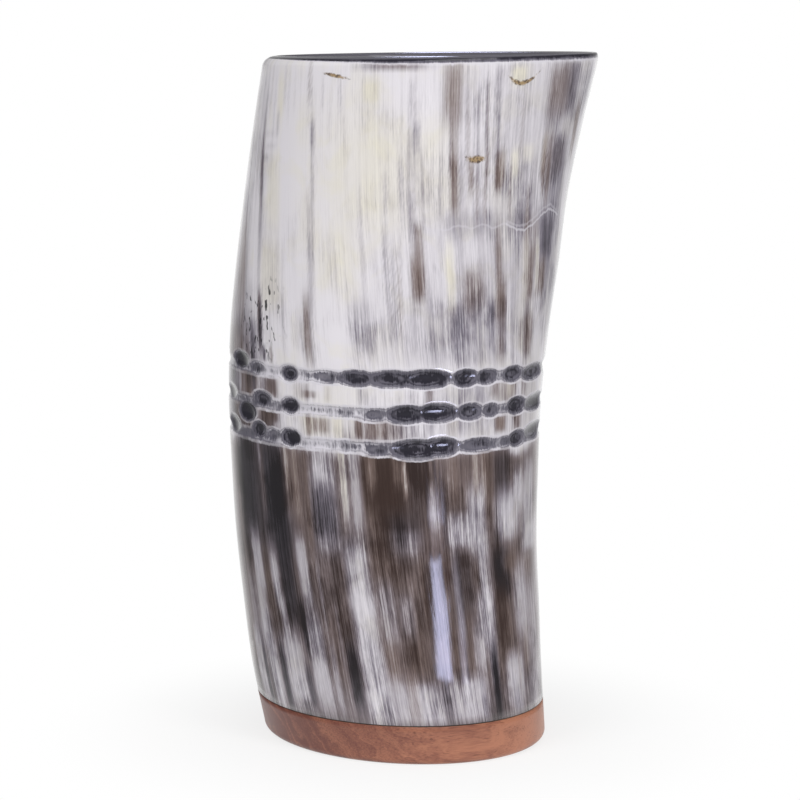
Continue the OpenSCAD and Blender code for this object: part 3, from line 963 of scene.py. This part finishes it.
    def marks(self, bench: Bench, skin: Socket, place: Sockets, fibre: Socket) -> Socket:
        """Adds growth lines, blemishes and black flecks to the uncut surface.

        Args:
            bench: Bench of the material.
            skin: Colour of the uncut surface.
            place: Turn and height of the point, and how thickly flecks lie there.
            fibre: Place along the fibres.

        Returns:
            The colour with the marks.
        """
        turn, height, flecks = place
        waver = bench.minus(bench.noise(fibre, self.waver), 0.5)
        for ring, share in zip(bench.split(bench.attribute("rings", "Vector")), self.line_shares):
            off = bench.math("ABSOLUTE", bench.total(ring, (waver, self.line_waver)))
            skin = bench.mix(bench.times(bench.step(off, self.line_edge), share), skin, self.halo)
        grit = bench.noise(fibre, self.grit)
        ochre = bench.mix(bench.step(grit, self.blemish_core), self.ochre_rim, self.ochre)
        for flaw in self.blemishes:
            across = bench.off(turn, flaw.turn, flaw.half_turn)
            middle = bench.total(flaw.height, (across, flaw.slope * flaw.half_turn),
                                 (bench.times(across, across), flaw.bend))
            along = bench.off(height, middle, flaw.half_height)
            reach = bench.minus(bench.math("SQRT", bench.reach(across, along)), 1.0)
            reach = bench.total(reach, (grit, self.blemish_ragged))
            skin = bench.mix(bench.step(reach, self.blemish_edge), skin, ochre)
        spots = bench.step(bench.noise(fibre, self.spots), self.fleck_edge)
        amount = bench.times(spots, bench.step(flecks, self.fleck_area))
        return bench.mix(bench.times(amount, self.fleck_share), skin, self.charcoal)

    def layers(self, bench: Bench, skin: Socket, fibre: Socket, fine: Socket, broad: Socket) -> Socket:
        """Lays out where a cut slants through the pale outer layers into the dark inner one.

        Args:
            bench: Bench of the material.
            skin: Colour of the uncut surface.
            fibre: Place along the fibres.
            fine: Noise of the fine fibres.
            broad: Noise of the broad ones.

        Returns:
            The colour, cut or uncut.
        """
        trace, clear = bench.attribute("trace"), bench.attribute("clear")
        rough, blot = bench.noise(fibre, self.rough), bench.noise(fibre, self.blot)
        cut = bench.minus(bench.attribute("cut"), self.jag_level)
        cut = bench.total(cut, *zip((fine, rough), self.jag_shares))
        ripple = bench.math("SINE", bench.times(cut, self.ripple_rate))
        sway = bench.total(self.layer_level, *zip((fine, broad, rough), self.layer_shares),
                           (ripple, bench.step(blot, self.ripple_size)))
        depth = bench.math("ADD", bench.step(cut, self.deepening), sway)
        depth = bench.total(depth, (bench.minus(blot, 0.5), self.blot_gain),
                            (bench.minus(clear, self.clearest), self.blur_gain))
        inner = bench.mix(bench.step(depth, self.grey_to_black), self.inner_grey, self.inner_black)
        inner = bench.mix(bench.step(cut, self.to_lip), inner, self.lip_black)
        smoky = bench.step(bench.math("ADD", trace, sway), self.halo_to_smoke)
        smoke = bench.mix(smoky, self.halo, self.smoke)
        clear = bench.times(clear, bench.step(blot, self.halo_blots))
        color = bench.mix(bench.times(bench.step(cut, self.skin_to_halo), clear), skin, self.halo)
        color = bench.mix(bench.step(cut, self.halo_to_trace), color, smoke)
        return bench.mix(bench.step(cut, self.trace_to_inner), color, inner)


@dataclass(frozen=True)
class WoodFinish:
    """Satin reddish-brown wood whose grain lies level, with growth rings, short pores, a soft figure and
    painted shade that darkens its left side.
    """

    light: Triple = (0.425, 0.180, 0.108)
    dark: Triple = (0.165, 0.058, 0.044)
    pore: Triple = (0.075, 0.026, 0.019)
    figure: Grain = Grain((0.03, 0.12, 0.14), 3, 0.55, 0.8)
    rings: Grain = Grain((1.0, 0.55, 0.0), 3, 0.6)
    fibre: Grain = Grain((0.2, 3.2, 3.2), 3, 0.6)
    pores: Grain = Grain((0.28, 2.4, 2.4), 1, 0.4)
    grain_turn: float = 20
    pith_side: float = 58.0
    pith_depth: float = -46.0
    ring_sway: float = 9.0
    ring_stretch: float = 0.015
    # Painted light and shade: how fast the tone gets lighter towards +x, the right, and darker towards the
    # left
    painted_light_to_right: float = 6.4
    tone_shares: Triple = (0.8, 0.5, 0.5)
    dark_to_light: Ramp = Ramp(0.62, 1.20)
    pore_edge: Ramp = Ramp(0.65, 0.74)
    pore_share: float = 0.45
    relief_share: float = 0.3
    relief_strength: float = 0.2
    relief_depth: float = 0.1 * MM
    roughness: float = 0.38
    refraction: float = 1.5
    specular: float = 0.35
    oil: float = 0.1
    oil_roughness: float = 0.25

    def material(self) -> bpy.types.Material:
        """Builds the wood's material.

        Returns:
            The material.
        """
        bench = new_bench("oiled_wood")
        coords = bench.node("TexCoord").outputs["Object"]
        turned = bench.node("Mapping", {"Vector": coords,
                                        "Rotation": (0.0, 0.0, -math.radians(self.grain_turn)),
                                        "Scale": (1 / MM, 1 / MM, 1 / MM)}).outputs[0]
        figure, fibre, pores = (bench.noise(turned, grain)
                                for grain in (self.figure, self.fibre, self.pores))
        along, side, up = bench.split(turned)
        side, up = bench.minus(side, self.pith_side), bench.minus(up, self.pith_depth)
        radius = bench.total(bench.math("SQRT", bench.reach(up, side)), (figure, self.ring_sway))
        ringed = bench.node("CombineXYZ", {0: bench.times(along, self.ring_stretch), 1: radius}).outputs[0]
        rings = bench.noise(ringed, self.rings)
        # Painted shade: the tone share rises with x, so the wood is darker on its left and lighter on its
        # right
        share = bench.total(bench.times(bench.split(coords)[0], self.painted_light_to_right),
                            *zip((rings, figure, fibre), self.tone_shares))
        color = bench.mix(bench.step(share, self.dark_to_light), self.dark, self.light)
        pitted = bench.step(pores, self.pore_edge)
        relief = bench.minus(bench.times(fibre, self.relief_share), pitted)
        return bench.finish(bench.node("BsdfPrincipled", {
            "Base Color": bench.mix(bench.times(pitted, self.pore_share), color, self.pore),
            "Roughness": self.roughness, "IOR": self.refraction, "Specular IOR Level": self.specular,
            "Coat Weight": self.oil, "Coat Roughness": self.oil_roughness,
            "Normal": bench.bump(relief, self.relief_strength, self.relief_depth)}))


@dataclass(frozen=True)
class GlueFinish:
    """Dark hardened glue, slightly uneven."""

    color: Triple = (0.035, 0.027, 0.022)
    light: Triple = (0.09, 0.06, 0.04)
    blots: Grain = Grain((180.0, 180.0, 180.0))
    lightening: Ramp = Ramp(0.45, 0.65)
    polish: Ramp = Ramp(0.3, 0.7, 0.3, 0.5)
    relief_strength: float = 0.3
    relief_depth: float = 0.1 * MM

    def material(self) -> bpy.types.Material:
        """Builds the glue's material.

        Returns:
            The material.
        """
        bench = new_bench("dark_glue")
        blot = bench.noise(bench.node("TexCoord").outputs["Object"], self.blots)
        return bench.finish(bench.node("BsdfPrincipled", {
            "Base Color": bench.mix(bench.step(blot, self.lightening), self.color, self.light),
            "Roughness": bench.step(blot, self.polish),
            "Normal": bench.bump(blot, self.relief_strength, self.relief_depth)}))


@dataclass(frozen=True)
class ResinFinish:
    """Glossy amber resin over the wood of the cup's floor."""

    amber: Triple = (0.30, 0.13, 0.055)
    deep: Triple = (0.12, 0.045, 0.022)
    grain: Grain = Grain((30.0, 260.0, 260.0), 4, 0.6, 0.8)
    swell: Grain = Grain((60.0, 60.0, 60.0), 2)
    deep_to_amber: Ramp = Ramp(0.38, 0.66)
    relief_strength: float = 0.12
    relief_depth: float = 0.4 * MM
    roughness: float = 0.12
    refraction: float = 1.52
    gloss: float = 0.6
    gloss_roughness: float = 0.04

    def material(self) -> bpy.types.Material:
        """Builds the resin's material.

        Returns:
            The material.
        """
        bench = new_bench("clear_resin")
        coords = bench.node("TexCoord").outputs["Object"]
        grain, swell = bench.noise(coords, self.grain), bench.noise(coords, self.swell)
        return bench.finish(bench.node("BsdfPrincipled", {
            "Base Color": bench.mix(bench.step(grain, self.deep_to_amber), self.deep, self.amber),
            "Roughness": self.roughness, "IOR": self.refraction, "Coat Weight": self.gloss,
            "Coat Roughness": self.gloss_roughness,
            "Normal": bench.bump(swell, self.relief_strength, self.relief_depth)}))


def add_object(name: str, data: bpy.types.ID) -> bpy.types.Object:
    """Adds an object with its mesh, light or camera to the scene.

    Args:
        name: Its name.
        data: The mesh, light or camera.

    Returns:
        The new object.
    """
    added = bpy.data.objects.new(name, data)
    bpy.context.scene.collection.objects.link(added)
    return added


def mesh_of_rows(name: str, rows: np.ndarray, closed: bool) -> bpy.types.Object:
    """Makes a smooth mesh from rows of points that run round the cup.

    Args:
        name: Name of the object and its mesh.
        rows: Points by row and place round it.
        closed: True for a ring, whose last row joins its first. False for a solid with flat ends.

    Returns:
        The new object, linked to the scene.
    """
    count, around = rows.shape[:2]
    here = np.arange(around)
    beside = (here + 1) % around
    quads = []
    for low in range(count if closed else count - 1):
        first, second = low * around, (low + 1) % count * around
        quads.append(np.stack([first + here, first + beside, second + beside, second + here], axis=1))
    faces = np.concatenate(quads).tolist()
    if not closed:
        faces.append(here[::-1].tolist())
        faces.append(((count - 1) * around + here).tolist())
    mesh = bpy.data.meshes.new(name)
    mesh.from_pydata(rows.reshape(-1, 3).tolist(), [], faces)
    mesh.polygons.foreach_set("use_smooth", [True] * len(mesh.polygons))
    mesh.update()
    return add_object(name, mesh)


def add_attribute(piece: bpy.types.Object, name: str, values: np.ndarray) -> None:
    """Gives each point of a mesh one number or one vector.

    Args:
        piece: The object.
        name: Name of the attribute.
        values: A number or a row of three for each point.
    """
    kind, key = ("FLOAT_VECTOR", "vector") if values.ndim == 2 else ("FLOAT", "value")
    attribute = piece.data.attributes.new(name, kind, "POINT")
    attribute.data.foreach_set(key, values.astype(np.float32).ravel())


def dress(piece: bpy.types.Object, material: bpy.types.Material, slot: str, *nodes: str) -> None:
    """Gives a piece its material, and lets it stand for CAD nodes.

    Args:
        piece: The object.
        material: Its finish.
        slot: Not used.
        *nodes: CAD nodes that it replaces, or none where it is a CAD node itself.
    """
    piece.data.materials.clear()
    piece.data.materials.append(material)
    if nodes:
        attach(piece, BODY)
        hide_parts(*nodes)
    log.info("%s: %d points, finish %s", piece.name, len(piece.data.vertices), material.name)


def turns_round(count: int) -> np.ndarray:
    """Degrees of a number of places round the cup."""
    return np.arange(count) * 360 / count


@dataclass
class HornBody:
    """The length of horn: outer surface with three carved rings, rounded lip and inside."""

    shape: HornShape = field(default_factory=HornShape)
    pattern: HornPattern = field(default_factory=HornPattern)
    finish: HornFinish = field(default_factory=HornFinish)
    around: int = 480
    low_rows: int = 32
    band_rows: int = 92
    high_rows: int = 46
    lip_rows: int = 12
    inner_rows: int = 16
    inner_cut: float = 3.0
    lip_cut_gain: float = 3.0
    lip_pale: float = 0.12
    lip_pale_left: float = 0.9
    lip_pale_power: int = 3

    def build(self) -> bpy.types.Object:
        """Builds the horn with its attributes.

        Returns:
            The horn.
        """
        shape = self.shape
        turns = turns_round(self.around)
        rows, cuts = [shape.level(turns, shape.start)], [np.full_like(turns, -shape.uncut / MM)]
        for height in self.heights()[1:]:
            depth = shape.carving(turns, height)
            rows.append(shape.skin(turns, height, np.maximum(depth, 0)))
            cuts.append(depth / MM)
        for angle in np.linspace(0, math.pi, self.lip_rows + 1):
            inset = self.lip_inset(turns, angle)
            rows.append(shape.skin(turns, shape.lip_start + shape.lip_round * math.sin(angle), inset))
            cuts.append((inset / MM - self.lip_edge(turns)) * self.lip_cut_gain)
        for height in np.linspace(shape.lip_start, shape.start, self.inner_rows + 1)[1:]:
            rows.append(shape.level(turns, height, float(shape.wall(height))))
            cuts.append(np.full_like(turns, self.inner_cut))
        piece = mesh_of_rows("horn", np.array(rows), closed=True)
        self.paint(piece, np.tile(turns, len(rows)), np.concatenate(cuts))
        dress(piece, self.finish.material(), "polished_horn", "horn_body")
        return piece

    def heights(self) -> np.ndarray:
        """Heights of the outer surface's rows.

        Returns:
            The heights, which lie closest together round the grooves.
        """
        shape = self.shape
        band_low = shape.groove_height - shape.groove_pitch * 2 / 3
        band_high = shape.groove_height + shape.groove_pitch * (len(GOUGE_SHARES) - 1 / 3)
        ends = (shape.start, band_low, band_high, shape.lip_start)
        counts = (self.low_rows, self.band_rows, self.high_rows)
        return np.concatenate([np.linspace(low, high, count, endpoint=False)
                               for low, high, count in zip(ends, ends[1:], counts)])

    def lip_edge(self, turns: np.ndarray) -> np.ndarray:
        """How far the pale layer reaches over the lip in millimetres, furthest on the left."""
        left = np.maximum(0, -np.sin(np.radians(turns)))
        return self.lip_pale + self.lip_pale_left * left ** self.lip_pale_power

    def lip_inset(self, turns: np.ndarray, angle: float) -> np.ndarray:
        """Distance behind the outer surface at an angle over the lip.

        Args:
            turns: Degrees from the front.
            angle: Angle over the rounding, from 0 outside to pi inside.

        Returns:
            The distance at each turn. The lip's crown lies further in on the left.
        """
        shape = self.shape
        crown = shape.wall_mouth * (shape.crown_share - shape.crown_swing_share * np.sin(np.radians(turns)))
        reach = np.where(angle < math.pi / 2, crown, shape.wall_mouth - crown)
        return crown - reach * math.cos(angle)

    def paint(self, piece: bpy.types.Object, turns: np.ndarray, cuts: np.ndarray) -> None:
        """Writes where each point lies on the horn and what tone it has.

        Args:
            piece: The horn's object.
            turns: Degrees from the front of each point.
            cuts: Depth behind the outer surface in millimetres.
        """
        pattern = self.pattern
        points = np.empty(len(turns) * 3)
        piece.data.vertices.foreach_get("co", points)
        heights = points[2::3] / MM
        radius = (self.shape.mouth_long + self.shape.mouth_short) / 4 / MM
        grain = np.radians(turns + pattern.twist(heights))
        signed = turn_between(turns, 0.0)
        attributes = {
            "fibre": np.stack([radius * np.cos(grain), radius * np.sin(grain), heights], axis=1),
            "place": np.stack([signed, heights, pattern.flecks(signed, heights)], axis=1),
            "tones": pattern.tones(turns, heights),
            "hatch": pattern.hatch(signed, heights),
            "rings": pattern.rings(signed, heights),
            "trace": pattern.trace(signed, heights),
            "clear": pattern.clear(signed),
            "cut": cuts,
        }
        for name, values in attributes.items():
            add_attribute(piece, name, values)


@dataclass
class WoodFoot:
    """The wooden foot: a rim flush with the horn and a spigot inside it."""

    shape: HornShape = field(default_factory=HornShape)
    finish: WoodFinish = field(default_factory=WoodFinish)
    edge_radius: float = 1.8 * MM
    spigot_height: float = 8 * MM
    glue_gap: float = 0.2 * MM
    around: int = 360
    edge_rows: int = 8
    side_rows: int = 6

    def build(self) -> bpy.types.Object:
        """Builds the foot.

        Returns:
            The foot.
        """
        shape, radius = self.shape, self.edge_radius
        turns = turns_round(self.around)
        rows = []
        for angle in np.linspace(0, math.pi / 2, self.edge_rows + 1):
            row = shape.skin(turns, radius, radius * (1 - math.sin(angle)))
            row[:, 2] = radius * (1 - math.cos(angle))
            rows.append(row)
        for height in np.linspace(radius, shape.foot_height, self.side_rows + 1)[1:]:
            rows.append(shape.level(turns, height))
        top = shape.foot_height + self.spigot_height
        rows.append(shape.level(turns, shape.foot_height, float(shape.wall(shape.start)) + self.glue_gap))
        rows.append(shape.level(turns, top, float(shape.wall(top)) + self.glue_gap))
        piece = mesh_of_rows("wood", np.array(rows), closed=False)
        dress(piece, self.finish.material(), "oiled_wood", "wood_foot")
        return piece


@dataclass
class FloorResin:
    """The sealing resin on the cup's floor, which curves up at the wall."""

    shape: HornShape = field(default_factory=HornShape)
    finish: ResinFinish = field(default_factory=ResinFinish)
    bottom: float = 17.5 * MM
    depth: float = 1.2 * MM
    climb: float = 2.4 * MM
    reach: float = 5 * MM
    around: int = 240
    curve_rows: int = 10

    def build(self) -> bpy.types.Object:
        """Builds the resin.

        Returns:
            The resin.
        """
        shape = self.shape
        turns = turns_round(self.around)
        edge = self.bottom + self.depth + self.climb
        rows = [shape.level(turns, self.bottom, float(shape.wall(self.bottom)))]
        for angle in np.linspace(0, math.pi / 2, self.curve_rows + 1):
            inset = float(shape.wall(edge)) + self.reach * (1 - math.cos(angle))
            row = shape.level(turns, edge, inset)
            row[:, 2] = edge - self.climb * math.sin(angle)
            rows.append(row)
        piece = mesh_of_rows("resin", np.array(rows), closed=False)
        dress(piece, self.finish.material(), "clear_resin", "floor_resin")
        return piece


@dataclass
class GlueJoint:
    """The film of glue, whose CAD solid is shown as it is."""

    finish: GlueFinish = field(default_factory=GlueFinish)

    def dress(self, node: bpy.types.Object) -> None:
        """Gives the CAD node its finish."""
        dress(node, self.finish.material(), "dark_glue")


@dataclass(frozen=True)
class Lamp:
    """A soft rectangular lamp that points at the middle of the cup.

    Args:
        name: Its name.
        place: Where it stands, in metres.
        size: Its width and height in metres.
        power: Its power in watts.
        unseen: Setting of the kind of rays that don't see it, if any.
        color: Its colour.
    """

    name: str
    place: Triple
    size: tuple[float, float]
    power: float
    unseen: str = ""
    color: Triple = (1.0, 1.0, 1.0)

    def build(self, aim_height: float) -> None:
        """Adds the lamp to the scene.

        Args:
            aim_height: Height on the cup's axis at which it points.
        """
        data = bpy.data.lights.new(self.name, "AREA")
        data.shape = "RECTANGLE"
        data.size, data.size_y = self.size
        data.energy = self.power
        data.color = self.color
        lamp = add_object(self.name, data)
        lamp.location = self.place
        aim = np.array([0.0, 0.0, aim_height]) - np.array(self.place)
        flat = math.hypot(aim[0], aim[1])
        lamp.rotation_euler = (math.pi / 2 - math.atan2(-aim[2], flat), 0.0, math.atan2(-aim[0], aim[1]))
        if self.unseen:
            setattr(lamp, self.unseen, False)


@dataclass
class Studio:
    """Pale floor, white surroundings, soft lamps and the camera of the photograph."""

    camera_place: Triple = (-0.6 * MM, -652.2 * MM, 172.45 * MM)
    camera_pitch: float = 7.93
    lens: float = 122
    near_clip: float = 10 * MM
    aim_height: float = 80 * MM
    window_color: Triple = (0.82, 0.85, 1.20)
    world_level: float = 0.42
    behind: Ramp = Ramp(0.70, 0.93, 0.2, 1.0, "LINEAR")
    above: Ramp = Ramp(-0.02, 0.10, 1.0, 0.35, "LINEAR")
    floor_radius: float = 100 * MM
    floor_sides: int = 96
    floor_color: Triple = (0.93, 0.93, 0.93)
    floor_fade: Ramp = Ramp(30 * MM, 94 * MM, 0.75, 1.0)
    mirror_fade: Ramp = Ramp(45 * MM, 100 * MM, 0.0, -0.8)
    mirror_side: Ramp = Ramp(0.45, 0.72, 1.0, 0.0)

    def build(self) -> None:
        """Builds the floor, the world, the lamps and the camera."""
        self.add_floor()
        self.add_world()
        mirrored = ("visible_diffuse", self.window_color)
        for lamp in (Lamp("key", (0.80, -0.90, 0.45), (0.35, 0.7), 6.9, "visible_glossy"),
                     Lamp("fill", (-0.42, -0.50, 0.50), (0.35, 0.4), 2.05, "visible_glossy"),
                     Lamp("window", (0.488, -1.019, -0.415), (0.26, 0.37), 3.9, *mirrored),
                     Lamp("pane", (0.780, -0.820, -0.430), (0.12, 0.36), 0.40, *mirrored),
                     Lamp("skylight", (-0.05, 0.77, 0.92), (0.1, 0.5), 1.3, *mirrored),
                     Lamp("top", (0.1, -0.6, 1.2), (0.8, 0.5), 2.6)):
            lamp.build(self.aim_height)
        self.add_camera()

    def add_camera(self) -> None:
        """Adds the camera and makes it the scene's own."""
        data = bpy.data.cameras.new("camera")
        data.lens = self.lens
        data.clip_start = self.near_clip
        camera = add_object("camera", data)
        camera.location = self.camera_place
        camera.rotation_euler = (math.radians(90 - self.camera_pitch), 0.0, 0.0)
        bpy.context.scene.camera = camera

    def add_world(self) -> None:
        """Makes the surroundings white to the eye and behind the cup, and a softer light elsewhere."""
        world = bpy.data.worlds.new("studio")
        bpy.context.scene.world = world
        bench = Bench(world, "OutputWorld")
        _, back, up = bench.split(bench.node("TexCoord").outputs["Generated"])
        rays = bench.node("LightPath").outputs
        mirrored = bench.times(bench.step(back, self.behind), bench.step(up, self.above))
        level = bench.choose(rays["Is Glossy Ray"], self.world_level, mirrored)
        for clear_view in ("Is Transmission Ray", "Is Camera Ray"):
            level = bench.choose(rays[clear_view], level, 1.0)
        bench.finish(bench.node("Background", {"Color": (1.0, 1.0, 1.0), "Strength": level}))

    def add_floor(self) -> None:
        """Adds a small round pale table top whose edge fades into the white surroundings."""
        mesh = bpy.data.meshes.new("floor")
        angles = np.radians(turns_round(self.floor_sides))
        rim = np.stack([np.cos(angles), np.sin(angles), np.zeros_like(angles)], axis=1) * self.floor_radius
        mesh.from_pydata(rim.tolist(), [], [list(range(self.floor_sides))])
        mesh.materials.append(self.floor_material())
        add_object("floor", mesh)

    def floor_material(self) -> bpy.types.Material:
        """Builds the floor's material.

        Returns:
            The material, which is matt to soft light and white to the eye at its edge.
        """
        bench = new_bench("studio_floor")
        coords = bench.node("TexCoord").outputs["Object"]
        away = bench.node("VectorMath", {0: coords}, operation="LENGTH").outputs["Value"]
        rays = bench.node("LightPath").outputs
        seen = bench.math("MAXIMUM", rays["Is Camera Ray"], rays["Is Transmission Ray"])
        seen = bench.math("MAXIMUM", seen, rays["Is Glossy Ray"])
        share = bench.times(bench.step(away, self.floor_fade), seen)
        ahead = bench.math("DIVIDE", bench.split(coords)[1], away)
        dimmed = bench.times(bench.step(away, self.mirror_fade), bench.step(ahead, self.mirror_side))
        level = bench.total(1.0, (rays["Is Glossy Ray"], dimmed))
        matt = bench.node("BsdfDiffuse", {"Color": self.floor_color})
        white = bench.node("Emission", {"Color": (1.0, 1.0, 1.0), "Strength": level})
        return bench.finish(bench.node("MixShader", {0: share, 1: matt.outputs[0], 2: white.outputs[0]}))


def main() -> None:
    """Loads the frame, dresses each piece in turn and sets the studio round the cup."""
    logging.basicConfig(level=logging.INFO, format="%(name)s: %(message)s")
    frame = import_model()
    scene = bpy.context.scene
    scene.view_settings.view_transform = "Standard"
    Studio().build()
    HornBody().build()
    WoodFoot().build()
    GlueJoint().dress(frame["nodes"]["glue_joint"])
    FloorResin().build()


if __name__ == "__main__":
    main()
